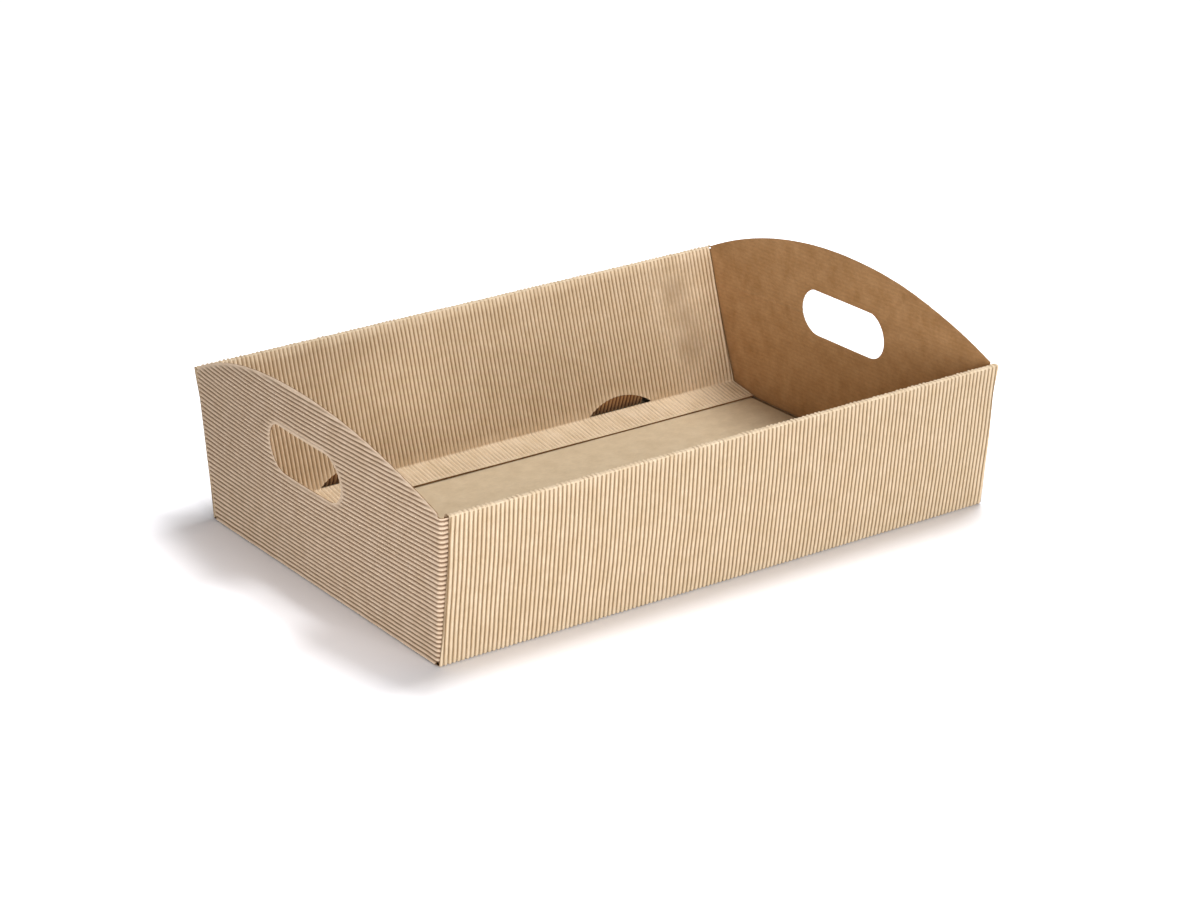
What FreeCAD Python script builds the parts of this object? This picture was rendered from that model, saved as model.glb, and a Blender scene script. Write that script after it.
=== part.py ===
import FreeCAD, Part
import math
import os
import Sketcher
from FreeCAD import Placement, Rotation, Vector

# One die-cut blank of single-face corrugated card, folded into an open tray.
# +X runs along the long walls, +Y towards the back wall, +Z up. The origin is the
# middle of the underside, on the pressed crests of the base's flutes. Sizes in mm.
# The fluted face is outside on the base, the outer long walls and the end walls.
# It turns over the ledges and down the inner long walls, so it shows inside there.

DIMENSIONS = (
    ("base_length", 440),        # outside, from end crease to end crease
    ("base_width", 302),         # outside, from side crease to side crease
    ("wall_height", 108.5),      # top of the ledges
    ("wall_flare", 17),          # each long wall leans out by this at its top
    ("ledge_width", 6.3),
    ("foot_reach", 135),         # middle of the tray to the inner wall's foot
    ("foot_height", 8.2),
    ("flange_reach", 110),       # middle of the tray to the flange's free edge
    ("flange_height", 3.5),
    ("card", 1.6),               # liner and flutes together
    ("liner", 0.4),
    ("pitch", 3.25),             # flute to flute
    ("flute_count", 135),        # along the long walls
    ("crest_press", 0.15),       # how far the base's crests are pressed flat
    ("side_taper", 1.8),         # how much each long wall's end edge draws in
    ("arch_peak", 143.5),
    ("arch_radius", 389),
    ("shoulder_reach", 161),     # where the arch ends and the flap's top begins
    ("shoulder_height", 106.3),
    ("hole_length", 94),
    ("hole_height", 35),
    ("hole_middle", 91),
    ("flap_length", 60),
    ("flap_gap", 0.4),           # from a corner flap to the wall outside it
    ("flap_foot", 2.6),
    ("corner_radius", 1.6),
    ("left_lean", 0.7),          # outwards over the wall height, at the corners
    ("left_bow", 8.4),           # how far the left end wall bellies out at its top
    ("left_bow_shift", -0.14),   # the belly's middle, as a share of the half width
    ("right_lean", -3),
    ("lock_steps", 35),          # flutes from the tray's middle to a lock's middle
    ("lock_flutes", 17),         # flutes that a lock is cut across
    ("lock_rise", 9.5),
    ("lock_turn", 36),           # how far a half-moon is pushed out, in degrees
    ("end_gap", 0.4),            # from the inner walls' ends to the end walls
)


class Rule:
    """A size together with the expression that ties it to the sheet."""

    def __init__(self, value, text=None):
        self.value = value
        self.text = text or str(value)

    def joined(self, other, sign, value):
        return Rule(value, f"({self.text} {sign} {as_rule(other).text})")

    def __add__(self, other):
        return self.joined(other, "+", self.value + as_rule(other).value)

    def __sub__(self, other):
        return self.joined(other, "-", self.value - as_rule(other).value)

    def __mul__(self, other):
        return self.joined(other, "*", self.value * as_rule(other).value)

    def __truediv__(self, other):
        return self.joined(other, "/", self.value / as_rule(other).value)

    def __pow__(self, other):
        return self.joined(other, "^", self.value ** as_rule(other).value)

    def __neg__(self):
        return Rule(-self.value, f"(-{self.text})")


def as_rule(item):
    return item if isinstance(item, Rule) else Rule(item)


doc = FreeCAD.newDocument("TrayBox")
dims = doc.addObject("Spreadsheet::Sheet", "Dims")
size = {}
for row, (alias, value) in enumerate(DIMENSIONS, start=1):
    dims.set(f"A{row}", alias)
    dims.set(f"B{row}", str(value))
    dims.setAlias(f"B{row}", alias)
    size[alias] = Rule(value, f"Dims.{alias}")
doc.recompute()

half_width = size["base_width"] / 2
half_strip = size["flute_count"] * size["pitch"] / 2
ledge_reach = half_width + size["wall_flare"]
valley = size["card"] - size["liner"]


def new_sketch(owner, name, role=None, turn=None):
    """A sketch on one of a body's own planes, or a free one that is turned."""
    if role:
        sketch = owner.newObject("Sketcher::SketchObject", name)
        parts = owner.Origin.OriginFeatures
        plane = next(part for part in parts if part.Role == role)
        sketch.AttachmentSupport = [(plane, "")]
        sketch.MapMode = "FlatFace"
        return sketch
    sketch = doc.addObject("Sketcher::SketchObject", name)
    sketch.Placement = Placement(Vector(), turn or Rotation())
    return sketch


def hold(sketch, kind, edge, end, rule):
    """One distance from the sketch's origin, tied to the sheet."""
    link = Sketcher.Constraint(kind, -1, 1, edge, end, float(as_rule(rule).value))
    index = sketch.addConstraint(link)
    name = f"{kind}_{edge}_{end}"
    sketch.renameConstraint(index, name)
    sketch.setExpression(f"Constraints.{name}", as_rule(rule).text)


def hold_point(sketch, edge, end, across, along):
    hold(sketch, "DistanceX", edge, end, across)
    hold(sketch, "DistanceY", edge, end, along)


def spot(across, along):
    return Vector(as_rule(across).value, as_rule(along).value, 0)


def join_ends(sketch, edges, closed=True):
    for before, after in zip(edges, edges[1:]):
        sketch.addConstraint(Sketcher.Constraint("Coincident", before, 2, after, 1))
    if closed:
        sketch.addConstraint(
            Sketcher.Constraint("Coincident", edges[-1], 2, edges[0], 1)
        )


def draw_lines(sketch, corners, closed=True):
    """Straight lines from corner to corner, each corner held to the sheet."""
    ends = corners + corners[:1] if closed else corners
    edges = [
        sketch.addGeometry(Part.LineSegment(spot(*a), spot(*b)))
        for a, b in zip(ends, ends[1:])
    ]
    join_ends(sketch, edges, closed)
    for edge, corner in zip(edges, corners):
        hold_point(sketch, edge, 1, *corner)
    if not closed:
        hold_point(sketch, edges[-1], 2, *corners[-1])


# The long strip: half the base, outer wall, ledge, inner wall and flange, as one
# folded path at the level of the flute crests. The liner and the flutes follow it.
strip = doc.addObject("PartDesign::Body", "Strip")

fold_path = new_sketch(strip, "FoldPath", "YZ_Plane")
draw_lines(
    fold_path,
    [
        (0, -size["crest_press"]),
        (-half_width, -size["crest_press"]),
        (-ledge_reach, size["wall_height"]),
        (size["ledge_width"] - ledge_reach, size["wall_height"]),
        (-size["foot_reach"], size["foot_height"]),
        (-size["flange_reach"], size["flange_height"]),
    ],
    closed=False,
)


def follow_path(name, profile):
    pipe = strip.newObject("PartDesign::AdditivePipe", name)
    pipe.Profile = profile
    pipe.Spine = (fold_path, [])
    pipe.Transition = "Right corner"
    return pipe


# The path starts at the crests before they are pressed, a little below the ground.
base_valley = valley - size["crest_press"]
base_top = size["card"] - size["crest_press"]
liner_profile = new_sketch(strip, "LinerProfile", "XZ_Plane")
draw_lines(
    liner_profile,
    [
        (-half_strip, base_valley),
        (half_strip, base_valley),
        (half_strip, base_top),
        (-half_strip, base_top),
    ],
)
liner = follow_path("Liner", liner_profile)


def draw_flute(sketch, start, level, up):
    """One flute between two valleys. It is rooted half-way into the liner."""
    root = level - up * size["liner"] / 2
    crest = level + up * valley
    draw_lines(
        sketch,
        [
            (start, level),
            (start + size["pitch"] / 2, crest),
            (start + size["pitch"], level),
            (start + size["pitch"], root),
            (start, root),
        ],
    )


DOWNWARDS = Rule(-1)
UPWARDS = Rule(1)

flute_profile = new_sketch(strip, "FluteProfile", "XZ_Plane")
draw_flute(flute_profile, -half_strip, base_valley, DOWNWARDS)
flute = follow_path("Flute", flute_profile)


def repeat_flute(body, name, original, profile, count):
    pattern = body.newObject("PartDesign::LinearPattern", name)
    pattern.Originals = [original]
    pattern.Direction = (profile, ["H_Axis"])
    pattern.setExpression("Length", ((count - 1) * size["pitch"]).text)
    pattern.setExpression("Occurrences", count.text)
    body.Tip = pattern
    return pattern


repeat_flute(strip, "Flutes", flute, flute_profile, size["flute_count"])


def draw_half_moon(sketch, middle, floor):
    """A chord across the lock's flutes, under a shallow curve of short straights."""
    reach = size["lock_flutes"] * size["pitch"] / 2
    shares = [index / 4 for index in range(-4, 5)]
    draw_lines(
        sketch,
        [
            (middle + reach * share, floor + size["lock_rise"] * (1 - share**2))
            for share in shares
        ],
    )


# Two half-moons are cut out of the inner wall's foot. Each chord lies on the fold.
lock_middle = size["lock_steps"] * size["pitch"]
lock_outline = new_sketch(strip, "LockOutline", "XZ_Plane")
lock_outline.setExpression("AttachmentOffset.Base.z", "Dims.flange_reach")
for middle in (lock_middle, -lock_middle):
    draw_half_moon(lock_outline, middle, size["foot_height"])
lock_holes = strip.newObject("PartDesign::Pocket", "LockHoles")
lock_holes.Profile = lock_outline
lock_holes.Reversed = True
between_walls = (half_width + size["foot_reach"]) / 2
lock_holes.setExpression("Length", (between_walls - size["flange_reach"]).text)
strip.Tip = lock_holes


# The tray stands on the base's crests, which are pressed flat.
footprint = new_sketch(strip, "Footprint", "XY_Plane")
footprint_end = half_strip + size["pitch"]
draw_lines(
    footprint,
    [
        (-footprint_end, -ledge_reach),
        (footprint_end, -ledge_reach),
        (footprint_end, size["pitch"]),
        (-footprint_end, size["pitch"]),
    ],
)
pressed = strip.newObject("PartDesign::Pocket", "PressedCrests")
pressed.Profile = footprint
pressed.setExpression("Length", "Dims.card")
strip.Tip = pressed

# The inner walls and flanges stop short of the end walls. What goes is a block that
# widens upwards between the outer long walls, from the base to under the ledges.
def draw_plan(name, height, inner_end, reach):
    sketch = new_sketch(strip, name, "XY_Plane")
    sketch.setExpression("AttachmentOffset.Base.z", height.text)
    far_end = size["base_length"] / 2 + size["flap_length"]
    draw_lines(
        sketch,
        [(inner_end, -reach), (far_end, -reach), (far_end, 0), (inner_end, 0)],
    )
    return sketch


inner_face = size["base_length"] / 2 - size["card"]
gap_foot = draw_plan(
    "GapFoot",
    size["card"] + size["end_gap"],
    inner_face - size["end_gap"],
    between_walls,
)
gap_top = draw_plan(
    "GapTop",
    size["wall_height"] - size["card"],
    inner_face - size["end_gap"] + size["right_lean"],
    ledge_reach - size["card"] * 2,
)
end_gaps = strip.newObject("PartDesign::SubtractiveLoft", "EndGaps")
end_gaps.Profile = gap_foot
end_gaps.Sections = [gap_top]
end_gaps.Ruled = True

# Each end edge of the long walls draws in a little towards the ledge.
taper_outline = new_sketch(strip, "TaperOutline", "XZ_Plane")
draw_lines(
    taper_outline,
    [
        (half_strip, 0),
        (half_strip + size["pitch"], 0),
        (half_strip + size["pitch"], size["wall_height"] + size["card"]),
        (half_strip - size["side_taper"], size["wall_height"] + size["card"]),
    ],
)
side_taper = strip.newObject("PartDesign::Pocket", "SideTaper")
side_taper.Profile = taper_outline
side_taper.Type = "ThroughAll"
side_taper.Midplane = True


other_end = strip.newObject("PartDesign::Mirrored", "OtherEnd")
other_end.Originals = [end_gaps, side_taper]
yz_plane = next(p for p in strip.Origin.OriginFeatures if p.Role == "YZ_Plane")
other_end.MirrorPlane = (yz_plane, [""])
strip.Tip = other_end
strip.Label = "Front half of the long strip"
strip.Placement = Placement()


ALONG_LENGTH = Vector(1, 0, 0)
ACROSS_WIDTH = Vector(0, 1, 0)


def mirrored(name, source, normal, label):
    copy = doc.addObject("Part::Mirroring", name)
    copy.Source = source
    copy.Normal = normal
    copy.Label = label
    return copy


back_strip = mirrored(
    "BackStrip", strip, ACROSS_WIDTH, "Back half of the long strip"
)


def half_reach(height):
    """Middle of the tray to a corner flap's flute crests, at a height."""
    flare = size["wall_flare"].value * height / size["wall_height"].value
    outer_card = size["card"].value + size["flap_gap"].value
    return half_width.value + flare - outer_card


def wall_lean(side, share):
    """How far an end wall stands out past its foot, per millimetre of height."""
    if side > 0:
        return size["right_lean"].value / size["wall_height"].value
    belly = size["left_bow"].value * (1 - (share - size["left_bow_shift"].value) ** 2)
    return (size["left_lean"].value + belly) / size["wall_height"].value


def panel_section(side, share, flap, top):
    """A section through an end panel: liner on the inner side, flutes outside.

    share says where it stands, from -1 at the front corner to 1 at the back one.
    flap is 0 in the wall, 1 where the corner starts to turn into the flap, and 2
    at the flap's end.
    """
    card, liner_depth = size["card"].value, size["liner"].value
    radius, step = size["corner_radius"].value, size["pitch"].value
    inner_end = size["base_length"].value / 2 - card
    turned = flap > 0

    def point(height, depth):
        liner_x = inner_end + wall_lean(side, share) * height
        liner_y = share * (half_reach(height) - card)
        if turned:
            run = radius if flap == 1 else size["flap_length"].value
            return Vector(
                side * (liner_x - run), liner_y + share * depth, height
            )
        if abs(share) == 1:
            liner_y -= share * radius
        return Vector(side * (liner_x + depth), liner_y, height)

    count = round(top / step)
    outline = [point(0, 0), point(0, liner_depth)]
    for i in range(count):
        foot = i * step
        outline.append(point(foot + step / 2, card))
        outline.append(point(foot + step, liner_depth))
    outline.append(point(count * step, 0))
    section = doc.addObject("Part::Feature", "PanelSection")
    section.Shape = Part.makePolygon(outline + outline[:1])
    return section


def end_panel(name, side, middle_shares):
    """The ruled panel before the arch and the hand hole are cut."""
    top = size["arch_peak"].value + size["pitch"].value / 2
    stations = [(-1, 2), (-1, 1), (-1, 0)]
    stations += [(share, 0) for share in middle_shares]
    stations += [(1, 0), (1, 1), (1, 2)]
    panel = doc.addObject("Part::Loft", name)
    panel.Sections = [panel_section(side, *station, top) for station in stations]
    panel.Solid = True
    panel.Ruled = True
    return panel


left_sheet = end_panel("LeftSheet", -1, (-0.4, 0.2))
right_sheet = end_panel("RightSheet", 1, ())

# Sketches seen along +X, with the tray's width across and its height up.
SEEN_ALONG_X = Rotation(ACROSS_WIDTH, Vector(0, 0, 1), ALONG_LENGTH, "XYZ")


def through_both_ends(name, sketch):
    tool = doc.addObject("Part::Extrusion", name)
    tool.Base = sketch
    tool.DirMode = "Normal"
    tool.Solid = True
    tool.Symmetric = True
    tool.setExpression("LengthFwd", "Dims.base_length + 4 * Dims.flap_length")
    return tool


def draw_arc(sketch, centre, radius, start, end, across):
    """An arc that runs anticlockwise between two angles about a held centre."""
    circle = Part.Circle(spot(*centre), Vector(0, 0, 1), radius.value)
    arc = sketch.addGeometry(
        Part.ArcOfCircle(circle, math.radians(start), math.radians(end))
    )
    hold_point(sketch, arc, 3, *centre)
    for point, rule in zip((1, 2), across):
        hold(sketch, "DistanceX", arc, point, rule)
    index = sketch.addConstraint(Sketcher.Constraint("Radius", arc, radius.value))
    sketch.renameConstraint(index, f"Radius_{arc}")
    sketch.setExpression(f"Constraints.Radius_{arc}", radius.text)
    return arc


def draw_arch_tool():
    """Everything over the arch and over the flaps, which stop under the ledges."""
    sketch = new_sketch(doc, "ArchOutline", turn=SEEN_ALONG_X)
    reach, drop = size["shoulder_reach"], size["shoulder_height"]
    radius, peak = size["arch_radius"], size["arch_peak"]
    middle = peak - radius
    spread = math.degrees(math.asin(reach.value / radius.value))
    arc = draw_arc(
        sketch, (0, middle), radius, 90 - spread, 90 + spread, (reach, -reach)
    )
    arc_end = middle + (radius**2 - reach**2) ** 0.5
    far, over = ledge_reach * 2, peak * 2
    corners = [
        (-reach, arc_end),
        (-reach, drop),
        (-far, drop),
        (-far, over),
        (far, over),
        (far, drop),
        (reach, drop),
        (reach, arc_end),
    ]
    lines = [
        sketch.addGeometry(Part.LineSegment(spot(*a), spot(*b)))
        for a, b in zip(corners, corners[1:])
    ]
    join_ends(sketch, [arc] + lines)
    for line, corner in zip(lines[1:], corners[1:-1]):
        hold_point(sketch, line, 1, *corner)
    return sketch


def draw_hand_hole():
    """A slot with round ends."""
    sketch = new_sketch(doc, "HandHoleOutline", turn=SEEN_ALONG_X)
    radius, middle = size["hole_height"] / 2, size["hole_middle"]
    reach = size["hole_length"] / 2 - radius
    front = sketch.addGeometry(
        Part.ArcOfCircle(
            Part.Circle(spot(-reach, middle), Vector(0, 0, 1), radius.value),
            math.pi / 2,
            math.pi * 3 / 2,
        )
    )
    under = sketch.addGeometry(
        Part.LineSegment(spot(-reach, middle - radius), spot(reach, middle - radius))
    )
    back = sketch.addGeometry(
        Part.ArcOfCircle(
            Part.Circle(spot(reach, middle), Vector(0, 0, 1), radius.value),
            -math.pi / 2,
            math.pi / 2,
        )
    )
    over = sketch.addGeometry(
        Part.LineSegment(spot(reach, middle + radius), spot(-reach, middle + radius))
    )
    join_ends(sketch, [front, under, back, over])
    hold_point(sketch, front, 3, -reach, middle)
    hold_point(sketch, back, 3, reach, middle)
    hold_point(sketch, under, 1, -reach, middle - radius)
    hold_point(sketch, over, 1, reach, middle + radius)
    return sketch


arch_tool = through_both_ends("ArchTool", draw_arch_tool())
hand_hole = through_both_ends("HandHole", draw_hand_hole())

# The flaps' feet are lifted off the base.
flap_feet = doc.addObject("Part::Box", "FlapFeet")
flap_run = "(Dims.base_length - 2 * Dims.card - 2 * Dims.corner_radius)"
flap_feet.setExpression("Length", flap_run)
flap_feet.setExpression("Width", "Dims.base_width * 2")
flap_feet.setExpression("Height", "Dims.flap_foot + Dims.card")
flap_feet.setExpression("Placement.Base.x", f"-{flap_run} / 2")
flap_feet.setExpression("Placement.Base.y", "-Dims.base_width")
flap_feet.setExpression("Placement.Base.z", "-Dims.card")

panel_tools = doc.addObject("Part::Compound", "PanelTools")
panel_tools.Links = [arch_tool, hand_hole, flap_feet]


def cut_panel(name, sheet, label):
    panel = doc.addObject("Part::Cut", name)
    panel.Base = sheet
    panel.Tool = panel_tools
    panel.Label = label
    panel.Placement = Placement()
    return panel


left_panel = cut_panel("LeftPanel", left_sheet, "Left end wall and its flaps")
right_panel = cut_panel("RightPanel", right_sheet, "Right end wall and its flaps")

# A lock's half-moon is the card cut from the inner wall. It is drawn flat, with its
# crests at 0 and the top of its arc at the origin.
half_moon = doc.addObject("PartDesign::Body", "HalfMoon")
half_moon.Label = "Half-moon lock"
moon_reach = size["lock_flutes"] * size["pitch"] / 2
moon_floor = -size["lock_rise"]

moon_sheet = new_sketch(half_moon, "MoonSheet", "XY_Plane")
moon_sheet.setExpression("AttachmentOffset.Base.z", valley.text)
draw_lines(
    moon_sheet,
    [(-moon_reach, moon_floor), (moon_reach, moon_floor), (moon_reach, 0), (-moon_reach, 0)],
)
moon_liner = half_moon.newObject("PartDesign::Pad", "MoonLiner")
moon_liner.Profile = moon_sheet
moon_liner.setExpression("Length", "Dims.liner")

moon_profile = new_sketch(half_moon, "MoonFluteProfile", "XZ_Plane")
draw_flute(moon_profile, -moon_reach, valley, DOWNWARDS)
moon_flute = half_moon.newObject("PartDesign::Pad", "MoonFlute")
moon_flute.Profile = moon_profile
moon_flute.setExpression("Length", "Dims.lock_rise")
repeat_flute(half_moon, "MoonFlutes", moon_flute, moon_profile, size["lock_flutes"])

moon_waste = new_sketch(half_moon, "MoonWaste", "XY_Plane")
waste_reach, waste_floor = moon_reach * 2, moon_floor * 2
draw_lines(
    moon_waste,
    [
        (-waste_reach, waste_floor),
        (waste_reach, waste_floor),
        (waste_reach, -waste_floor),
        (-waste_reach, -waste_floor),
    ],
)
draw_half_moon(moon_waste, Rule(0), moon_floor)
moon_trim = half_moon.newObject("PartDesign::Pocket", "MoonTrim")
moon_trim.Profile = moon_waste
moon_trim.Type = "ThroughAll"
moon_trim.Midplane = True
half_moon.Tip = moon_trim

# It is turned outwards about the top of its arc, where it is still joined to the wall.
inner_slope = (ledge_reach - size["ledge_width"] - size["foot_reach"]) / (
    size["wall_height"] - size["foot_height"]
)
moon_turn = f"90 deg + atan({inner_slope.text}) - Dims.lock_turn * 1 deg"
half_moon.Placement = Placement(Vector(), Rotation(Vector(1, 0, 0), 90))
half_moon.setExpression("Placement.Rotation.Angle", moon_turn)
half_moon.setExpression("Placement.Base.x", lock_middle.text)
moon_hinge = -size["foot_reach"] - size["lock_rise"] * inner_slope
half_moon.setExpression("Placement.Base.y", moon_hinge.text)
half_moon.setExpression(
    "Placement.Base.z", (size["foot_height"] + size["lock_rise"]).text
)

left_moon = mirrored("LeftMoon", half_moon, ALONG_LENGTH, "Half-moon lock at the left")
front_moons = doc.addObject("Part::Compound", "FrontMoons")
front_moons.Links = [half_moon, left_moon]
back_moons = mirrored(
    "BackMoons", front_moons, ACROSS_WIDTH, "Half-moon locks of the back wall"
)

# All of it is one folded sheet, so it ends up as one solid.
tray = doc.addObject("Part::MultiFuse", "Tray")
tray.Shapes = [strip, back_strip, left_panel, right_panel, front_moons, back_moons]
tray.Refine = True
tray.Label = "tray"
doc.recompute()

for item in doc.Objects:
    troubles = [word for word in item.State if word in ("Invalid", "Error")]
    if troubles:
        raise RuntimeError(f"{item.Name} is not sound: {troubles}")
    shape = getattr(item, "Shape", None)
    if shape is not None and (shape.isNull() or not shape.isValid()):
        raise RuntimeError(f"{item.Name} has no valid shape")
if len(tray.Shape.Solids) != 1:
    raise RuntimeError(f"the tray came out as {len(tray.Shape.Solids)} solids")

os.makedirs("parts", exist_ok=True)
tray.Shape.exportStep("parts/tray.step")
print("tray volume in cubic mm:", round(tray.Shape.Volume))
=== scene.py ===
import math
import bpy
import numpy as np
from mathutils import Matrix, Vector


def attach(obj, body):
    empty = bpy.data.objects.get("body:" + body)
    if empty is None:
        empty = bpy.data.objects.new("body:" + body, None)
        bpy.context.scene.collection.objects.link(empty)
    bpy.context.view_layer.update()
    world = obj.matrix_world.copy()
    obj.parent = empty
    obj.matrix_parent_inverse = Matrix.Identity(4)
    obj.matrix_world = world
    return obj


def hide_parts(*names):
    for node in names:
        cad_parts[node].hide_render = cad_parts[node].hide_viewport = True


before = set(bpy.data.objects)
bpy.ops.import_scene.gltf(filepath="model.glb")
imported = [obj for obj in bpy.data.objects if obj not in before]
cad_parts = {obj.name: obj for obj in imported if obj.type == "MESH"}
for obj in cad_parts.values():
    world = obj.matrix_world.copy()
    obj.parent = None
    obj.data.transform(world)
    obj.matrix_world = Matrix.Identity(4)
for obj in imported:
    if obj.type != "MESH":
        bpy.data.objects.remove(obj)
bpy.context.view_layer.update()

# Lengths are in millimetres until a mesh is made. The frame itself is in metres.
metre = 0.001

tray = {
    "halfLength": 220.0,
    "halfWidth": 151.0,
    "wallHeight": 108.5,
    "flare": 17.0,
    "ledge": 6.3,
    "footReach": 135.0,
    "footHeight": 8.2,
    "flangeReach": 110.0,
    "flangeHeight": 3.5,
    "card": 1.6,
    "liner": 0.35,
    "medium": 0.22,
    "pitch": 3.25,
    "fluteCount": 135,
    "leftLean": 0.7,       # how far each end wall leans out, at the long walls' height
    "rightLean": -3.0,
}
waveDepth = tray["card"] - tray["liner"]
ledgeReach = tray["halfWidth"] + tray["flare"]
# What keeps the flutes from looking ruled.
unevenness = {
    "drift": 0.03,         # how far a flute strays sideways, as a share of the pitch
    "sinking": 0.05,       # share of its height that the lowest flute loses
}


# An sRGB hex colour as the linear colour a shader takes.
def linear(hexColour):
    parts = [int(hexColour[i : i + 2], 16) / 255 for i in (1, 3, 5)]
    bent = [p / 12.92 if p <= 0.04045 else ((p + 0.055) / 1.055) ** 2.4 for p in parts]
    return (*bent, 1.0)


# A smooth uneven field, about -1 to 1, over two coordinates. Callers divide millimetres
# by the length over which the field changes.
def wobble(u, v, seed, waves=9, lowest=0.4, highest=3.0):
    draw = np.random.RandomState(seed)
    total = np.zeros(np.broadcast(u, v).shape)
    for _ in range(waves):
        heading = draw.uniform(0, 2 * math.pi)
        rate = draw.uniform(lowest, highest) * 2 * math.pi
        shift = draw.uniform(0, 2 * math.pi)
        total += np.sin(rate * (u * math.cos(heading) + v * math.sin(heading)) + shift)
    return total / math.sqrt(waves)


# Materials

# One node with its settings; each link names an input and what feeds it.
def addNode(tree, kind, settings=None, **links):
    node = tree.nodes.new(kind)
    for key, value in (settings or {}).items():
        if isinstance(key, str) and hasattr(node, key):
            setattr(node, key, value)
        else:
            node.inputs[key].default_value = value
    for key, source in links.items():
        label = key.replace("_", " ")
        socket = node.inputs[int(key[1:])] if key[1:].isdigit() else node.inputs[label]
        tree.links.new(source, socket)
    return node


# A mix of two colours, each a socket or a plain value. The node numbers its colours 6
# and 7 and their result 2.
def mixColours(tree, blend, share, first, second):
    mix = addNode(
        tree, "ShaderNodeMix", {"data_type": "RGBA", "blend_type": blend}, i0=share
    )
    for number, colour in ((6, first), (7, second)):
        if isinstance(colour, tuple):
            mix.inputs[number].default_value = colour
        else:
            tree.links.new(colour, mix.inputs[number])
    return mix.outputs[2]


# A colour made up to one swing lighter or darker as the source goes through its span.
def speckle(tree, colour, source, span, swing):
    factor = addNode(
        tree,
        "ShaderNodeMapRange",
        {"From Min": span[0], "From Max": span[1], "To Min": 1 - swing, "To Max": 1 + swing},
        Value=source,
    )
    scaled = addNode(
        tree,
        "ShaderNodeVectorMath",
        {"operation": "SCALE"},
        i0=colour,
        Scale=factor.outputs["Result"],
    )
    return scaled.outputs["Vector"]


pulp = {
    "cloudsPerMetre": 85.0,      # clouds of paler and darker pulp, about 12 mm across
    "cloudSpan": (0.3, 0.7),
    "fibresPerMetre": 900.0,     # about 1 mm wide, coarser than real so that they show
    "fibreSpan": (0.35, 0.65),
    "bumpHeight": 0.2,
    "sheen": 0.25,
}


# Kraft paper: uneven brown with fine fibres. Where its look says so, it also has painted
# shade in the flute valleys, or the faint washboard lines of the flutes behind it.
def kraftMaterial(name, look):
    material = bpy.data.materials.new(name)
    material.use_nodes = True
    tree = material.node_tree
    shader = tree.nodes["Principled BSDF"]
    shader.inputs["Roughness"].default_value = look["roughness"]
    shader.inputs["Specular IOR Level"].default_value = pulp["sheen"]
    place = addNode(tree, "ShaderNodeTexCoord").outputs["Object"]

    clouds = addNode(
        tree,
        "ShaderNodeTexNoise",
        {"Scale": pulp["cloudsPerMetre"], "Detail": 5.0, "Roughness": 0.6},
        Vector=place,
    )
    stretch = addNode(
        tree, "ShaderNodeMapping", {"Scale": look["fibreStretch"]}, Vector=place
    )
    fibres = addNode(
        tree,
        "ShaderNodeTexNoise",
        {"Scale": pulp["fibresPerMetre"], "Detail": 3.0, "Roughness": 0.7},
        Vector=stretch.outputs["Vector"],
    )
    paler = addNode(
        tree,
        "ShaderNodeMapRange",
        {"From Min": pulp["cloudSpan"][0], "From Max": pulp["cloudSpan"][1]},
        Value=clouds.outputs["Fac"],
    )
    colour = mixColours(
        tree, "MIX", paler.outputs["Result"], linear(look["dark"]), linear(look["light"])
    )
    colour = speckle(tree, colour, fibres.outputs["Fac"], pulp["fibreSpan"], look["fibre"])
    if "washboard" in look:
        axes = addNode(tree, "ShaderNodeSeparateXYZ", Vector=place)
        turns = 2 * math.pi / (tray["pitch"] * metre)
        phase = addNode(
            tree, "ShaderNodeMath", {"operation": "MULTIPLY", 1: turns}, i0=axes.outputs["Z"]
        )
        ripple = addNode(
            tree, "ShaderNodeMath", {"operation": "SINE"}, i0=phase.outputs[0]
        )
        colour = speckle(tree, colour, ripple.outputs[0], (-1.0, 1.0), look["washboard"])
    # Painted shade: the valleys are multiplied towards the valley colour as the crest
    # attribute falls.
    if "valley" in look:
        mark = addNode(tree, "ShaderNodeAttribute", {"attribute_name": "crest"})
        sunk = addNode(
            tree,
            "ShaderNodeMapRange",
            {"From Min": look["valleyEnd"], "From Max": 0.0},
            Value=mark.outputs["Fac"],
        )
        colour = mixColours(
            tree, "MULTIPLY", sunk.outputs["Result"], colour, linear(look["valley"])
        )
    tree.links.new(colour, shader.inputs["Base Color"])
    bump = addNode(
        tree,
        "ShaderNodeBump",
        {"Strength": look["bump"], "Distance": pulp["bumpHeight"] * metre},
        Height=fibres.outputs["Fac"],
    )
    tree.links.new(bump.outputs["Normal"], shader.inputs["Normal"])
    return material


# Fluted medium: pale tan kraft. Its valleys carry painted shade, so that the flutes read as
# crisp lines.
flutedKraft = kraftMaterial(
    "flutedKraft",
    {
        "light": "#EED8BB",
        "dark": "#E2CAA9",
        "valley": "#A5937D",
        "valleyEnd": 0.62,
        "fibre": 0.06,
        "fibreStretch": (1.0, 1.0, 0.25),
        "roughness": 0.85,
        "bump": 0.25,
    },
)
# The same medium on the end walls, a little pinker, with deeper painted shade in its
# valleys, where the flutes' undersides shade more of the paper.
endFlutedKraft = kraftMaterial(
    "endFlutedKraft",
    {
        "light": "#EED5BC",
        "dark": "#E2C7AB",
        "valley": "#85725F",
        "valleyEnd": 0.7,
        "fibre": 0.06,
        "fibreStretch": (1.0, 0.25, 1.0),
        "roughness": 0.85,
        "bump": 0.25,
    },
)
# Base liner: smooth, with a faint mottle, and painted paler with the overhead light that
# reaches it.
litBaseLinerKraft = kraftMaterial(
    "litBaseLinerKraft",
    {
        "light": "#DAC6A7",
        "dark": "#CEB999",
        "fibre": 0.04,
        "fibreStretch": (0.35, 1.0, 1.0),
        "roughness": 0.75,
        "bump": 0.12,
    },
)
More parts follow.
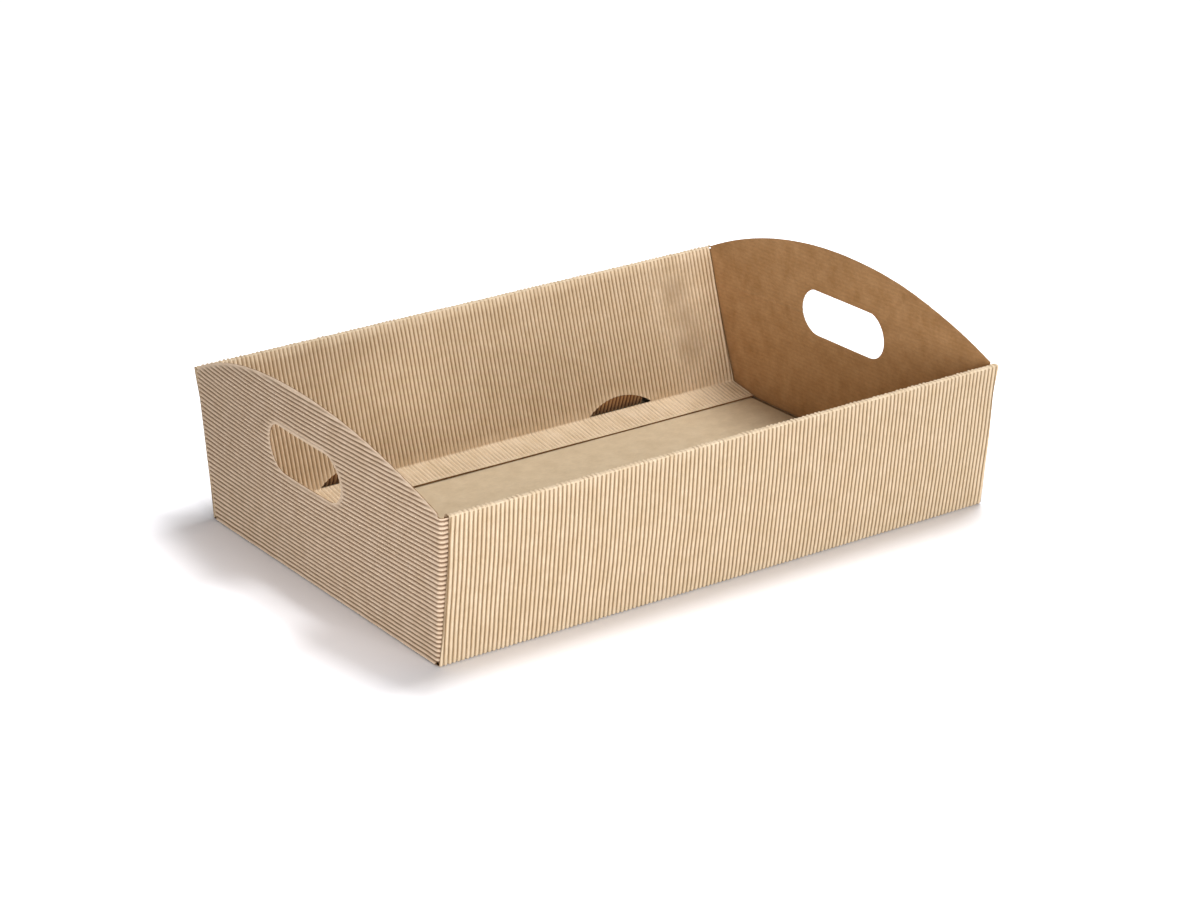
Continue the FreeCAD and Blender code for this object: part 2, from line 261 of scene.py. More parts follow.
# Liner: the smooth warm brown side, mottled like pressed pulp, and darker with painted
# shade, as the end walls' inner faces stand in shade.
shadedLinerKraft = kraftMaterial(
    "shadedLinerKraft",
    {
        "light": "#BE956A",
        "dark": "#AA8155",
        "washboard": 0.035,
        "fibre": 0.07,
        "fibreStretch": (1.0, 0.35, 1.0),
        "roughness": 0.8,
        "bump": 0.2,
    },
)
# Cut edges show the raw brown core of the paper, darkened further with painted shade for the
# shaded gaps along them.
cutKraft = kraftMaterial(
    "cutKraft",
    {
        "light": "#98724C",
        "dark": "#7C5A3A",
        "fibre": 0.1,
        "fibreStretch": (1.0, 1.0, 1.0),
        "roughness": 0.9,
        "bump": 0.3,
    },
)
# The cut edges of the right end wall's liner are pale.
paleCutKraft = kraftMaterial(
    "paleCutKraft",
    {
        "light": "#E4D2BA",
        "dark": "#D0BA9C",
        "fibre": 0.08,
        "fibreStretch": (1.0, 1.0, 1.0),
        "roughness": 0.9,
        "bump": 0.3,
    },
)
# The same medium on the half-moons: a darker brown of painted shade, for the walls' shade
# they stand in.
shadedLockKraft = kraftMaterial(
    "shadedLockKraft",
    {
        "light": "#C29A72",
        "dark": "#AD855D",
        "valley": "#8A6C52",
        "valleyEnd": 0.7,
        "fibre": 0.06,
        "fibreStretch": (1.0, 1.0, 0.25),
        "roughness": 0.9,
        "bump": 0.2,
    },
)
print("materials made")


# Sheets

# Faces of a grid of points, one for each cell that keep marks true.
def quads(shape, keep=None):
    rows, columns = shape
    index = np.arange(rows * columns).reshape(shape)
    cells = np.stack(
        [index[:-1, :-1], index[:-1, 1:], index[1:, 1:], index[1:, :-1]], axis=-1
    )
    return cells[keep] if keep is not None else cells.reshape(-1, 4)


# Edges of the faces that only one face uses, in that face's order.
def freeEdges(faces):
    starts = faces.reshape(-1)
    stops = np.roll(faces, -1, axis=1).reshape(-1)
    low, high = np.minimum(starts, stops), np.maximum(starts, stops)
    code = low.astype(np.int64) * (faces.max() + 1) + high
    _, first, counts = np.unique(code, return_index=True, return_counts=True)
    single = first[counts == 1]
    return np.stack([starts[single], stops[single]], axis=1)


# A paper sheet: its outer face, its cut edges and, if backed, its inner face. The
# crest of each outer point tells the material how much painted valley shade it gets.
def makeSheet(name, outer, inner, faces, materials, crest=None, backed=False):
    count = len(outer)
    points = [outer]
    allFaces = [faces]
    slots = [np.zeros(len(faces), dtype=np.int32)]
    if backed:
        points.append(inner)
        allFaces.append(faces[:, ::-1] + count)
        slots.append(np.zeros(len(faces), dtype=np.int32))
    edges = freeEdges(faces)
    used, local = np.unique(edges, return_inverse=True)
    local = local.reshape(edges.shape)
    start = sum(len(block) for block in points)
    points += [outer[used], inner[used]]
    rim = np.stack(
        [
            start + local[:, 1],
            start + local[:, 0],
            start + len(used) + local[:, 0],
            start + len(used) + local[:, 1],
        ],
        axis=1,
    )
    allFaces.append(rim)
    slots.append(np.ones(len(rim), dtype=np.int32))
    vertices = np.concatenate(points) * metre
    faceList = np.concatenate(allFaces)

    mesh = bpy.data.meshes.new(name)
    mesh.vertices.add(len(vertices))
    mesh.vertices.foreach_set("co", vertices.astype(np.float32).reshape(-1))
    mesh.loops.add(len(faceList) * 4)
    mesh.loops.foreach_set("vertex_index", faceList.astype(np.int32).reshape(-1))
    mesh.polygons.add(len(faceList))
    mesh.polygons.foreach_set("loop_start", np.arange(len(faceList), dtype=np.int32) * 4)
    mesh.update(calc_edges=True)
    mesh.validate()
    for material in materials:
        mesh.materials.append(material)
    if len(mesh.polygons) == len(faceList):
        mesh.polygons.foreach_set("material_index", np.concatenate(slots))
    mesh.polygons.foreach_set("use_smooth", [True] * len(mesh.polygons))
    if crest is not None:
        values = [crest, crest[used], crest[used]]
        layer = mesh.attributes.new("crest", "FLOAT", "POINT")
        layer.data.foreach_set("value", np.concatenate(values).astype(np.float32))
    piece = bpy.data.objects.new(name, mesh)
    bpy.context.scene.collection.objects.link(piece)
    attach(piece, "root")
    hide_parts("tray")
    print("piece", name, len(faceList), "faces, kept", len(mesh.polygons))
    return piece


# 1 on a flute's crest and 0 in its valley; phase counts flutes from a crest.
def crestShare(phase):
    return (1 + np.cos(2 * math.pi * phase)) / 2


# Long walls: base, outer wall, ledge, inner wall and flange in one folded strip

longWall = {
    "corners": [
        (0.0, 0.0),
        (tray["halfWidth"], 0.0),
        (ledgeReach, tray["wallHeight"]),
        (ledgeReach - tray["ledge"], tray["wallHeight"]),
        (tray["footReach"], tray["footHeight"]),
        (tray["flangeReach"], tray["flangeHeight"]),
    ],
    "foldRadii": [2.2, 1.8, 1.8, 1.0],
    "foldSteps": 5,
    "straightSteps": [6, 14, 2, 14, 5],
    "samples": 8,          # points across one flute
    "bulge": 1.3,          # how far the outer wall bows out at mid height
    "edgeTaper": 1.8,
    "endGap": 0.9,
    "crushing": 0.3,       # share of a flute's height that a crease takes away
    "creaseReach": 2.2,
    "ledgeCrushing": 0.65,
    "ledgeDents": (0.45, 0.75),    # least of that, and how much more in a dent
    "flangeCrushing": 0.5,
    "flangeDents": (0.75, 0.5),
    "flangeRelief": 0.35,  # how much less of it the flange's free edge has
    "dentHardness": 1.6,
    "crushedShade": 0.8,   # share of the valleys' painted shade that crushing takes away
    "sway": 0.25,          # how far the paper strays from flat
    "swayReach": 12,       # and how far from a fold it is free to
    "cutLevel": 0.3,       # how far down the flange edge's dark cut face starts: brown core and painted shade of the flute channels
    "sideGap": 1.2,        # the dark gap between an outer wall's end and the corner
    "gapTaper": 5,         # it closes over the first and the last fifth of the height
    "baseGap": 3.0,        # the groove along the end walls' bottom folds, dark with painted shade
    "linerStep": 16,       # columns of flute points to one of the liner's
}
lock = {
    "middle": 35 * tray["pitch"],
    "flutes": 17,
    "reach": 17 * tray["pitch"] / 2,
    "rise": 9.5,
    "turn": math.radians(36),
    "tail": 3.4,           # how far the half-moon reaches below its own chord
    "shortFlutes": 1.6,    # what is missing from its right end
    "rows": 8,
    "loft": 0.95,          # share of the full flute height
}


# Height of the half-moon cut above the fold, at x along the wall.
def lockArc(x):
    radius = (lock["reach"] ** 2 + lock["rise"] ** 2) / (2 * lock["rise"])
    off = np.minimum(np.abs(np.abs(x) - lock["middle"]), lock["reach"])
    return np.sqrt(radius**2 - off**2) - (radius - lock["rise"])


# Rings of the strip: where each stands, which way its crests face, and its part. Each
# ring is (reach, height, normal reach, normal height, part, share, crease).
def foldedPath():
    corners = [np.array(corner) for corner in longWall["corners"]]
    rings = []
    inset = 0.0
    for part, (start, end) in enumerate(zip(corners, corners[1:])):
        heading = (end - start) / np.linalg.norm(end - start)
        normal = np.array([heading[1], -heading[0]])
        length = np.linalg.norm(end - start)
        nextInset = 0.0
        if part < len(corners) - 2:
            after = corners[part + 2] - end
            after = after / np.linalg.norm(after)
            turn = math.atan2(
                heading[0] * after[1] - heading[1] * after[0], heading @ after
            )
            radius = longWall["foldRadii"][part]
            nextInset = radius * math.tan(abs(turn) / 2)
        steps = longWall["straightSteps"][part]
        for step in range(steps + 1):
            share = step / steps
            along = inset + (length - inset - nextInset) * share
            crease = min(
                along if part else 99.0, length - along if nextInset else 99.0
            )
            rings.append((*(start + heading * along), *normal, part, share, crease))
        if nextInset:
            side = 1 if turn > 0 else -1
            centre = end - heading * nextInset - normal * radius * side
            for step in range(1, longWall["foldSteps"]):
                angle = turn * step / longWall["foldSteps"]
                spun = np.array(
                    [
                        normal[0] * math.cos(angle) - normal[1] * math.sin(angle),
                        normal[0] * math.sin(angle) + normal[1] * math.cos(angle),
                    ]
                )
                rings.append((*(centre + spun * radius * side), *spun, part + 0.5, 0, 0))
        inset = nextInset
    return np.array(rings)


# Where the strip stops towards an end wall, at each ring.
def endTrim(side, part, height):
    rise = np.clip(height / tray["wallHeight"], 0, 1)
    outer = tray["fluteCount"] * tray["pitch"] / 2 - longWall["edgeTaper"] * rise
    lean = tray["rightLean"] if side > 0 else tray["leftLean"]
    inner = tray["halfLength"] - tray["card"] - longWall["endGap"] + lean * rise
    onOuter = (part > 0.6) & (part < 1.4)
    taper = np.minimum(np.minimum(rise, 1 - rise) * longWall["gapTaper"], 1)
    narrowed = longWall["sideGap"] * taper
    outer = outer - np.where(onOuter, narrowed, 0)
    inside = part >= 2.5
    return np.where(inside, np.minimum(outer, inner), outer)


shadedPatch = {
    "middle": 181.0,
    "reach": 19.0,
    "slant": 0.12,         # it stands further right towards its foot
    "slantHeight": 60,
    "foot": 8,
    "footFade": 25,
    "top": 112,
    "topFade": 30,
    "topShare": 0.35,      # what is left of it at the ledge
    "unevenness": 0.18,
    "seed": 71,
    "crushing": 0.6,
    "shade": 0.62,         # painted shade: how far its crests sink towards the valleys' colour
}


# Where the back inner wall is pressed smooth near its right end. The same patch paints shade
# there, as from the end wall beside it.
def pressedShadedPatch(side, part, x, height):
    slanted = x - shadedPatch["middle"] - shadedPatch["slant"] * (shadedPatch["slantHeight"] - height)
    across = np.exp(-((slanted / shadedPatch["reach"]) ** 2))
    along = np.clip((height - shadedPatch["foot"]) / shadedPatch["footFade"], 0, 1)
    along = along * np.clip((shadedPatch["top"] - height) / shadedPatch["topFade"], shadedPatch["topShare"], 1)
    uneven = 1 + shadedPatch["unevenness"] * wobble(x / 60, height / 60 + 0 * x, shadedPatch["seed"])
    onWall = (part == 3) & (side > 0)
    return np.where(onWall, np.clip(across * along * uneven, 0, 1), 0)


# One long wall with its half of the base: a fluted sheet and the liner behind it.
def makeLongWall(name, side, seed):
    rings = foldedPath()
    reach, height, normalR, normalZ, part, share, crease = rings.T[:, :, None]
    count = tray["fluteCount"] * longWall["samples"]
    half = tray["fluteCount"] * tray["pitch"] / 2
    drawn = np.linspace(-half, half, count + 1)[None, :]
    x = np.clip(drawn, -endTrim(-1, part, height), endTrim(1, part, height))

    # Inside a lock the wall ends at the half-moon's arc, and the fold keeps its edge.
    innerWall = part == 3
    wallLength = math.dist(longWall["corners"][3], longWall["corners"][4])
    climb = wallLength * (1 - share)
    inLock = np.abs(np.abs(x) - lock["middle"]) < lock["reach"]
    raised = np.where(innerWall, climb + lockArc(x) * share, 0)
    lift = np.where(innerWall & inLock, raised - climb, 0)
    slope = np.array(longWall["corners"][3]) - np.array(longWall["corners"][4])
    slope = slope / np.linalg.norm(slope)
    reach = reach + lift * slope[0]
    height = height + lift * slope[1]

    bulge = np.where(part == 1, np.sin(math.pi * share) * longWall["bulge"], 0)
    sway = longWall["sway"] * wobble(x / 300, height / 120 + part, seed)
    free = np.clip(crease / longWall["swayReach"], 0, 1)
    soft = np.where((part > 0) & (part < 5), 1.0, 0.0) * free
    out = bulge * np.cos(math.pi * x / (2 * half)) ** 0.5 + sway * soft

    stray = wobble(x / 40, reach / 60 + height / 60, seed + 1)
    crest = crestShare(x / tray["pitch"] + unevenness["drift"] * stray)
    crushed = longWall["crushing"] * np.exp(-((crease / longWall["creaseReach"]) ** 2))
    crushed = np.where(part % 1 > 0, longWall["crushing"], crushed)
    bumps = wobble(x / 6, reach / 60 + 0 * x, seed + 5, waves=12)
    dents = 0.5 + 0.5 * np.tanh(longWall["dentHardness"] * bumps)
    least, more = longWall["ledgeDents"]
    onLedge = (part > 1.2) & (part < 2.8)
    crushed = np.where(onLedge, longWall["ledgeCrushing"] * (least + more * dents), crushed)
    least, more = longWall["flangeDents"]
    onFlange = (part == 4) | (part == 3.5)
    relief = 1 - longWall["flangeRelief"] * np.where(part == 4, share, 0)
    flattened = longWall["flangeCrushing"] * (least + more * dents) * relief
    crushed = np.where(onFlange, np.maximum(crushed, flattened), crushed)
    pressedShaded = pressedShadedPatch(side, part, x, height)
    crushed = np.maximum(crushed, shadedPatch["crushing"] * pressedShaded)
    low = 1 + wobble(x / 30, reach / 50 + height / 50, seed + 2)
    loft = 1 - crushed - unevenness["sinking"] * low / 2
    depth = waveDepth * (1 - crest * loft)

    def place(level):
        off = out - level
        points = np.stack(
            np.broadcast_arrays(x, side * (reach + normalR * off), height + normalZ * off),
            axis=-1,
        )
        return points

    shape = np.broadcast(x, reach).shape
    faces = stripFaces(shape, part, inLock)
    if side > 0:
        faces = faces[:, ::-1]
    wave = place(depth).reshape(-1, 3)
    back = place(depth + tray["medium"]).reshape(-1, 3)
    # Painted shade: crushed flutes lose part of their painted valley shade.
    shownCrest = crest + (1 - crest) * longWall["crushedShade"] * crushed
    # Painted shade from the pressed patch darkens its crests towards the valley colour.
    shownCrest = shownCrest * (1 - shadedPatch["shade"] * pressedShaded)
    # The base's liner stops short of the end walls. The flutes below it are painted with the
    # full valley shade there.
    shadedGroove = tray["halfLength"] - tray["card"] - longWall["baseGap"]
    shownCrest = np.where((part < 0.5) & (np.abs(x) > shadedGroove), 0, shownCrest)
    makeSheet(
        name + "Flutes",
        wave,
        back,
        faces,
        [flutedKraft, cutKraft],
        crest=np.broadcast_to(shownCrest, shape).reshape(-1),
    )

    # The liner is smooth, so it takes few columns, but more of them round the half-moons.
    every = np.unique(np.r_[np.arange(0, count + 1, longWall["linerStep"]), count])
    near = np.abs(np.abs(drawn[0]) - lock["middle"]) < lock["reach"] + tray["pitch"]
    every = np.unique(np.r_[every, np.nonzero(near)[0][::2]])
    x = np.where(part < 0.5, np.clip(x, -shadedGroove, shadedGroove), x)
    # At the flange's free edge the dark cut face reaches up between the flutes: brown core
    # and painted shade of the flute channels.
    atEdge = (part == 4) & (share == 1)
    topLevel = np.where(atEdge, longWall["cutLevel"] * tray["card"], waveDepth)
    top = place(np.broadcast_to(topLevel, shape))[:, every]
    under = place(np.full(shape, tray["card"]))[:, every]
    faces = stripFaces(top.shape[:2], part, inLock[:, every])
    if side > 0:
        faces = faces[:, ::-1]
    makeSheet(
        name + "Liner",
        under.reshape(-1, 3),
        top.reshape(-1, 3),
        faces[:, ::-1],
        [litBaseLinerKraft, cutKraft],
        backed=True,
    )


# All the strip's cells but those between a lock's arc and the fold below it.
def stripFaces(shape, part, inLock):
    ringPart = part[:, 0]
    between = (ringPart[:-1] == 3) & (ringPart[1:] == 3.5)
    cellInLock = np.broadcast_to(inLock, shape)[:-1, :-1]
    cellInLock = cellInLock & np.broadcast_to(inLock, shape)[:-1, 1:]
    keep = ~(between[:, None] & cellInLock)
    return quads(shape, keep)


makeLongWall("frontWall", -1, 11)
makeLongWall("backWall", 1, 23)


# Half-moons pushed in at the inner walls' feet

# One half-moon, turned outwards about the top of its arc.
def makeLock(name, side, middle):
    count = lock["flutes"] * longWall["samples"]
    rightEnd = lock["reach"] - lock["shortFlutes"] * tray["pitch"]
    x = middle + np.linspace(-lock["reach"], rightEnd, count + 1)[None, :]
    share = np.linspace(0, 1, lock["rows"] + 1)[:, None]
    length = lock["rise"] + lock["tail"]
    drop = length - (lockArc(x) + lock["tail"]) * (1 - share)
    slope = np.array(longWall["corners"][3]) - np.array(longWall["corners"][4])
    slope = slope / np.linalg.norm(slope)
    hinge = np.array(longWall["corners"][4]) + slope * lock["rise"]
    tilt = lock["turn"] - math.atan2(slope[0], slope[1])
    down = np.array([math.sin(tilt), -math.cos(tilt)])
    outward = np.array([math.cos(tilt), math.sin(tilt)])
    crest = crestShare(x / tray["pitch"]) + 0 * share

    def place(level):
        points = np.stack(
            np.broadcast_arrays(
                x,
                side * (hinge[0] + down[0] * drop + outward[0] * level),
                hinge[1] + down[1] * drop + outward[1] * level,
            ),
            axis=-1,
        )
        return points.reshape(-1, 3)

    faces = quads(crest.shape)
    if side < 0:
        faces = faces[:, ::-1]
    depth = waveDepth * (1 - lock["loft"] * crest)
    makeSheet(
        name + "Flutes",
        place(depth),
        place(depth + tray["medium"]),
        faces,
        [shadedLockKraft, cutKraft],
        crest=crest.reshape(-1),
    )
    makeSheet(
        name + "Liner",
        place(waveDepth + 0 * crest),
        place(tray["card"] + 0 * crest),
        faces,
        [shadedLinerKraft, cutKraft],
        backed=True,
    )


for wallName, side in (("front", -1), ("back", 1)):
    for endName, end in (("Left", -1), ("Right", 1)):
        makeLock(wallName + endName + "Lock", side, end * lock["middle"])


# End walls: one arched sheet each, turned round its corners into flaps

endWall = {
    "peak": 143.5,
    "archRadius": 389.0,
    "shoulderReach": 161.0,
    "shoulderHeight": 106.3,
    "holeHalf": 47.0,
    "holeRadius": 17.5,
    "holeMiddle": 91.0,
    "flapRun": 60.0,
    "flapGap": 0.4,
    "flapFoot": 2.6,
    "cornerRadius": 3.6,   # of the crests round the vertical corner
    "samples": 8,
    # Columns of flap, corner, wall, hand hole, wall, corner and flap.
    "bands": [3, 8, 26, 14, 26, 8, 3],
    "firstFlute": 4.15,    # length of the flute that rolls under the bottom fold
    "edgeCrush": 0.8,      # share of a flute's height lost at the die-cut edges
    "edgeReach": 2.4,
    "loft": 0.97,          # share of the full flute height
    "topTrim": 0.02,
    "tipSquare": 0.2,      # keeps the top row from closing to a point
    "holeLimit": 0.6,      # widest hole column, as a share of the wall's half width
    "sway": 0.35,
    "swayHeight": 40,
}
ends = {
    "left": {
        "side": -1,
        "lean": tray["leftLean"],
        "bow": 7.9,
        "shift": -0.14,
        "seed": 31,
        "cut": cutKraft,
    },
    "right": {
        "side": 1,
        "lean": tray["rightLean"],
        "bow": 0.0,
        "shift": 0.0,
        "seed": 47,
        "cut": paleCutKraft,
        "dent": ((148.9, 81.5), (44.9, 87.0)),
        "dentDepth": 0.35,
        "dentReach": 1.1,
        "dentFade": 5,
    },
}


# From the tray's middle to a flap's crests, just inside the outer wall.
def crestReach(height):
    flare = tray["flare"] * height / tray["wallHeight"]
    return tray["halfWidth"] + flare - tray["card"] - endWall["flapGap"]


# One end wall. Its rows climb from under the bottom fold to the arch, one flute after
# another, and its columns run from one flap's end to the other's.
def makeEndWall(name, end):
    side, seed = end["side"], end["seed"]
    roll = tray["card"] * math.pi / 2
    total = roll + endWall["peak"] - tray["card"]
    count = round(total / tray["pitch"] * endWall["samples"])
    along = np.linspace(0, total - endWall["topTrim"], count + 1)
    angle = np.clip(along / roll, 0, 1) * math.pi / 2
    height = np.where(along < roll, 0, along - roll + tray["card"])
    phase = np.where(
        along < endWall["firstFlute"],
        along / endWall["firstFlute"] - 0.5,
        (height / tray["pitch"]) % 1 - 0.5,
    )

    # Half widths of the wall, of the flaps' turn and of the hand hole, at each row.
    rise = height - endWall["peak"] + endWall["archRadius"]
    top = np.maximum(endWall["archRadius"] ** 2 - rise**2, endWall["tipSquare"])
    arch = np.minimum(np.sqrt(top), endWall["shoulderReach"])
    turned = height < endWall["shoulderHeight"]
    straight = np.where(turned, crestReach(height) - endWall["cornerRadius"], arch)
    over = endWall["holeRadius"] ** 2 - (height - endWall["holeMiddle"]) ** 2
    square = endWall["holeHalf"] - endWall["holeRadius"]
    inHole = over > 0
    hole = square + np.sqrt(np.maximum(over, 0))
    hole = np.minimum(hole, straight * endWall["holeLimit"])

    bands = endWall["bands"]
    columns = []
    for band, steps in enumerate(bands):
        for step in range(steps + (band == len(bands) - 1)):
            columns.append((band, step / steps))
    band = np.array([c[0] for c in columns])[None, :]
    share = np.array([c[1] for c in columns])[None, :]
    rowHeight = height[:, None]
    wide, slot = straight[:, None], hole[:, None]

    across = np.where(band <= 1, -wide, 0.0)
    across = np.where(band == 2, -wide + (wide - slot) * share, across)
    across = np.where(band == 3, -slot + 2 * slot * share, across)
    across = np.where(band == 4, slot + (wide - slot) * share, across)
    across = np.where(band >= 5, wide, across)
    turn = np.where(band == 1, (share - 1) * math.pi / 2, 0.0)
    turn = np.where(band == 0, -math.pi / 2, turn)
    turn = np.where(band == 5, share * math.pi / 2, turn)
    turn = np.where(band == 6, math.pi / 2, turn)
    run = np.where(band == 0, (1 - share) * endWall["flapRun"], 0.0)
    run = np.where(band == 6, share * endWall["flapRun"], run)

    acrossShare = across / crestReach(rowHeight)
    belly = end["bow"] * (1 - (acrossShare - end["shift"]) ** 2)
    lean = (end["lean"] + belly) * rowHeight / tray["wallHeight"]
    sway = endWall["sway"] * wobble(across / 200, rowHeight / 120, seed)
    lean = lean + sway * np.clip(rowHeight / endWall["swayHeight"], 0, 1) * np.cos(turn)
    if "dent" in end:
        (startY, startZ), (endY, endZ) = end["dent"]
        runY, runZ = endY - startY, endZ - startZ
        span = math.hypot(runY, runZ)
        off = ((across - startY) * runZ - (rowHeight - startZ) * runY) / span
        onLine = ((across - startY) * runY + (rowHeight - startZ) * runZ) / span**2
        fade = np.clip(np.minimum(onLine, 1 - onLine) * end["dentFade"] + 0.5, 0, 1)
        lean = lean - end["dentDepth"] * fade * np.exp(-((off / end["dentReach"]) ** 2))

    stray = wobble(across / 60, rowHeight / 30, seed + 1)
    crest = crestShare(phase[:, None] + unevenness["drift"] * stray)
    low = 1 + wobble(across / 50, rowHeight / 40, seed + 2)
    loft = endWall["loft"] - unevenness["sinking"] * low / 2
    archDepth = endWall["archRadius"] - np.hypot(
        across, rowHeight - endWall["peak"] + endWall["archRadius"]
    )
    slotDepth = np.hypot(
        np.maximum(np.abs(across) - square, 0), rowHeight - endWall["holeMiddle"]
    ) - endWall["holeRadius"]
    toEdge = np.maximum(np.minimum(archDepth, slotDepth), 0)
    crushed = endWall["edgeCrush"] * np.exp(-((toEdge / endWall["edgeReach"]) ** 2))
    loft = loft * (1 - crushed)
    depth = waveDepth * (1 - crest * loft)

    inner = tray["halfLength"] - tray["card"]
    liner = endWall["cornerRadius"] - tray["card"]
    onRoll = along[:, None] < roll
    sunk = np.cos(angle)[:, None]
    swung = np.cos(math.pi / 2 - angle)[:, None]

    def place(level):
        stand = tray["card"] - level
        under = np.where(onRoll, tray["card"] - stand * sunk, rowHeight)
        outX = np.where(onRoll, stand * swung, stand)
        x = inner + lean + outX * np.cos(turn) - liner * (1 - np.cos(turn)) - run
        y = across + (liner + stand) * np.sin(turn)
        return np.stack(np.broadcast_arrays(side * x, y, under), axis=-1).reshape(-1, 3)

    shape = crest.shape
    cellBand = np.broadcast_to(band, shape)[:-1, :-1]
    flapCell = (cellBand <= 1) | (cellBand >= 5)
    onFlap = turned[1:, None] & (height[:-1, None] > endWall["flapFoot"])
    keep = ~(flapCell & ~onFlap)
    keep &= ~((cellBand == 3) & inHole[:-1, None] & inHole[1:, None])
    faces = quads(shape, keep)
    if side > 0:
        faces = faces[:, ::-1]
    # Crushed die-cut edges lose part of their painted valley shade.
    makeSheet(
        name + "Flutes",
        place(depth),
        place(depth + tray["medium"]),
        faces,
        [endFlutedKraft, cutKraft],
        crest=np.maximum(crest, crushed).reshape(-1),
    )
    makeSheet(
        name + "Liner",
        place(tray["card"] + 0 * crest),
        place(waveDepth + 0 * crest),
        faces[:, ::-1],
        [shadedLinerKraft, end["cut"]],
        backed=True,
    )


for name, end in ends.items():
    makeEndWall(name + "End", end)
print("all sheets made")


# Floor, light and camera

ground = {
    "reach": 6.0,          # in metres
    "bounce": 0.62,        # how pale it is to the light that it throws back
    "nearGain": 1.0,       # how pale it is to the camera beside the tray
    "farGain": 1.9,        # and from fadeReach away on
    "fadeReach": 90,
    # painted shade colour: a slight blue that shows only in the floor's shadow
    "blueGain": 1.04,
}


# A wide flat floor. To the camera it is painted whiter away from the tray, painted light
# that fades the shadow out until it can't be told from the white around it, and only the
# shadow beside the card keeps its grey.
def makeFloor():
    mesh = bpy.data.meshes.new("floor")
    reach = ground["reach"]
    mesh.from_pydata(
        [(-reach, -reach, 0), (reach, -reach, 0), (reach, reach, 0), (-reach, reach, 0)],
        [],
        [(0, 1, 2, 3)],
    )
    floor = bpy.data.objects.new("floor", mesh)
    bpy.context.scene.collection.objects.link(floor)
    material = bpy.data.materials.new("paleFloor")
    material.use_nodes = True
    tree = material.node_tree
    shader = addNode(tree, "ShaderNodeBsdfDiffuse")
    tree.links.new(shader.outputs[0], tree.nodes["Material Output"].inputs["Surface"])
    seen = addNode(tree, "ShaderNodeLightPath")
    place = addNode(tree, "ShaderNodeTexCoord").outputs["Object"]
    axes = addNode(tree, "ShaderNodeSeparateXYZ", Vector=place)
    outside = []
    for axis, half in (("X", tray["halfLength"]), ("Y", tray["halfWidth"])):
        far = addNode(
            tree, "ShaderNodeMath", {"operation": "ABSOLUTE"}, i0=axes.outputs[axis]
        )
        past = addNode(
            tree,
            "ShaderNodeMath",
            {"operation": "SUBTRACT", 1: half * metre},
            i0=far.outputs[0],
        )
        outside.append(past.outputs[0])
    fromTray = addNode(
        tree, "ShaderNodeMath", {"operation": "MAXIMUM"}, i0=outside[0], i1=outside[1]
    )
    gain = addNode(
        tree,
        "ShaderNodeMapRange",
        {
            "From Min": 0.0,
            "From Max": ground["fadeReach"] * metre,
            "To Min": ground["nearGain"],
            "To Max": ground["farGain"],
        },
        Value=fromTray.outputs[0],
    ).outputs["Result"]
    blue = addNode(
        tree, "ShaderNodeMath", {"operation": "MULTIPLY", 1: ground["blueGain"]}, i0=gain
    )
    whiter = addNode(
        tree, "ShaderNodeCombineColor", Red=gain, Green=gain, Blue=blue.outputs[0]
    )
    bounce = (ground["bounce"], ground["bounce"], ground["bounce"], 1)
    shade = mixColours(
        tree, "MIX", seen.outputs["Is Camera Ray"], bounce, whiter.outputs["Color"]
    )
    tree.links.new(shade, shader.inputs["Color"])
    mesh.materials.append(material)


makeFloor()

# The white around the tray gives little light, but the camera sees it as full white.
studio = {"fill": 0.18, "seen": 1.0}
world = bpy.data.worlds.new("studio")
bpy.context.scene.world = world
world.use_nodes = True
worldTree = world.node_tree
background = worldTree.nodes["Background"]
rays = addNode(worldTree, "ShaderNodeLightPath")
brightness = addNode(
    worldTree,
    "ShaderNodeMix",
    {"data_type": "FLOAT", 2: studio["fill"], 3: studio["seen"]},
    i0=rays.outputs["Is Camera Ray"],
)
worldTree.links.new(brightness.outputs[0], background.inputs["Strength"])
background.inputs["Color"].default_value = (1, 1, 1, 1)

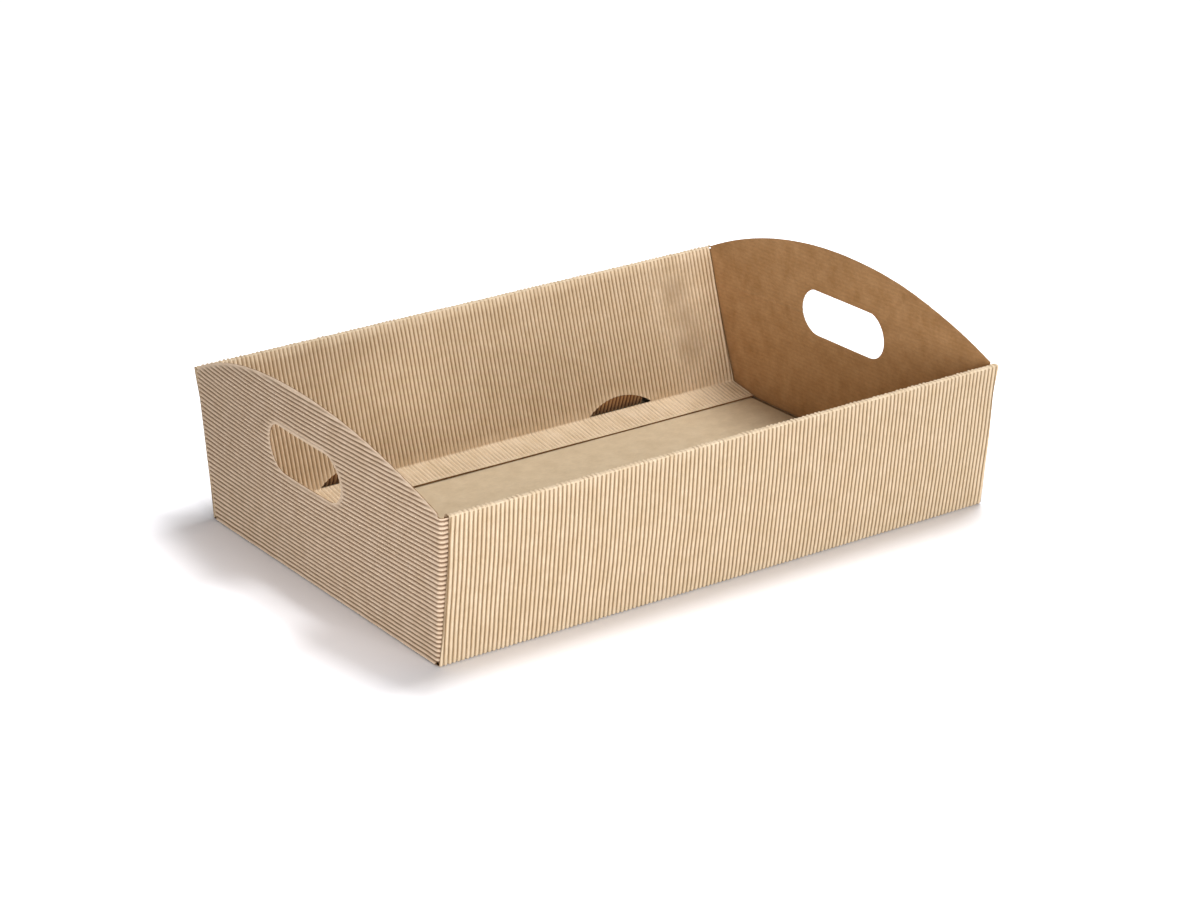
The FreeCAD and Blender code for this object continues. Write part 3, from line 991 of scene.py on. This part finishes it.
# Places and sizes of the lights are in metres, and their powers in watts.
lightAim = (0, 0, 0.05)
lights = {
    "softboxTop": {"spot": (0.75, 0.12, 2.3), "size": 1.0, "power": 39.0},
    "softboxFront": {"spot": (-0.3, -2.3, 0.85), "size": 1.1, "power": 25.5},
    "softboxLeft": {"spot": (-1.8, -1.3, 0.33), "size": 0.6, "power": 23.5},
}
for name, light in lights.items():
    lamp = bpy.data.lights.new(name, "AREA")
    lamp.shape = "SQUARE"
    lamp.size = light["size"]
    lamp.energy = light["power"]
    holder = bpy.data.objects.new(name, lamp)
    holder.location = light["spot"]
    aim = Vector(lightAim) - holder.location
    holder.rotation_euler = aim.to_track_quat("-Z", "Y").to_euler()
    bpy.context.scene.collection.objects.link(holder)

# The camera as the photo was taken: fitted to points of the tray, to about 1 px.
view = {
    "azimuth": math.radians(-33.585),
    "elevation": math.radians(21.605),
    "roll": math.radians(-1.409),
    "distance": 2202.63,
    "target": (0.0, 0.0, 54.13),
    "right": 3.36,
    "up": -7.79,
    "focalShare": 3206.98 / 1200,   # focal length over the frame's width
}
camera = bpy.data.cameras.new("camera")
camera.sensor_width = 36.0
camera.lens = view["focalShare"] * camera.sensor_width
camera.clip_end = 50.0
cameraHolder = bpy.data.objects.new("camera", camera)
backward = Vector(
    (
        math.sin(view["azimuth"]) * math.cos(view["elevation"]),
        -math.cos(view["azimuth"]) * math.cos(view["elevation"]),
        math.sin(view["elevation"]),
    )
)
rightward = (-backward).cross(Vector((0, 0, 1))).normalized()
upward = rightward.cross(-backward).normalized()
spot = (
    Vector(view["target"])
    + backward * view["distance"]
    + rightward * view["right"]
    + upward * view["up"]
) * metre
frameRight = rightward * math.cos(view["roll"]) + upward * math.sin(view["roll"])
frameUp = upward * math.cos(view["roll"]) - rightward * math.sin(view["roll"])
cameraHolder.matrix_world = Matrix(
    (
        (frameRight.x, frameUp.x, backward.x, spot.x),
        (frameRight.y, frameUp.y, backward.y, spot.y),
        (frameRight.z, frameUp.z, backward.z, spot.z),
        (0, 0, 0, 1),
    )
)
bpy.context.scene.collection.objects.link(cameraHolder)
bpy.context.scene.camera = cameraHolder
bpy.context.scene.view_settings.view_transform = "Standard"
print("floor, lights and camera made")
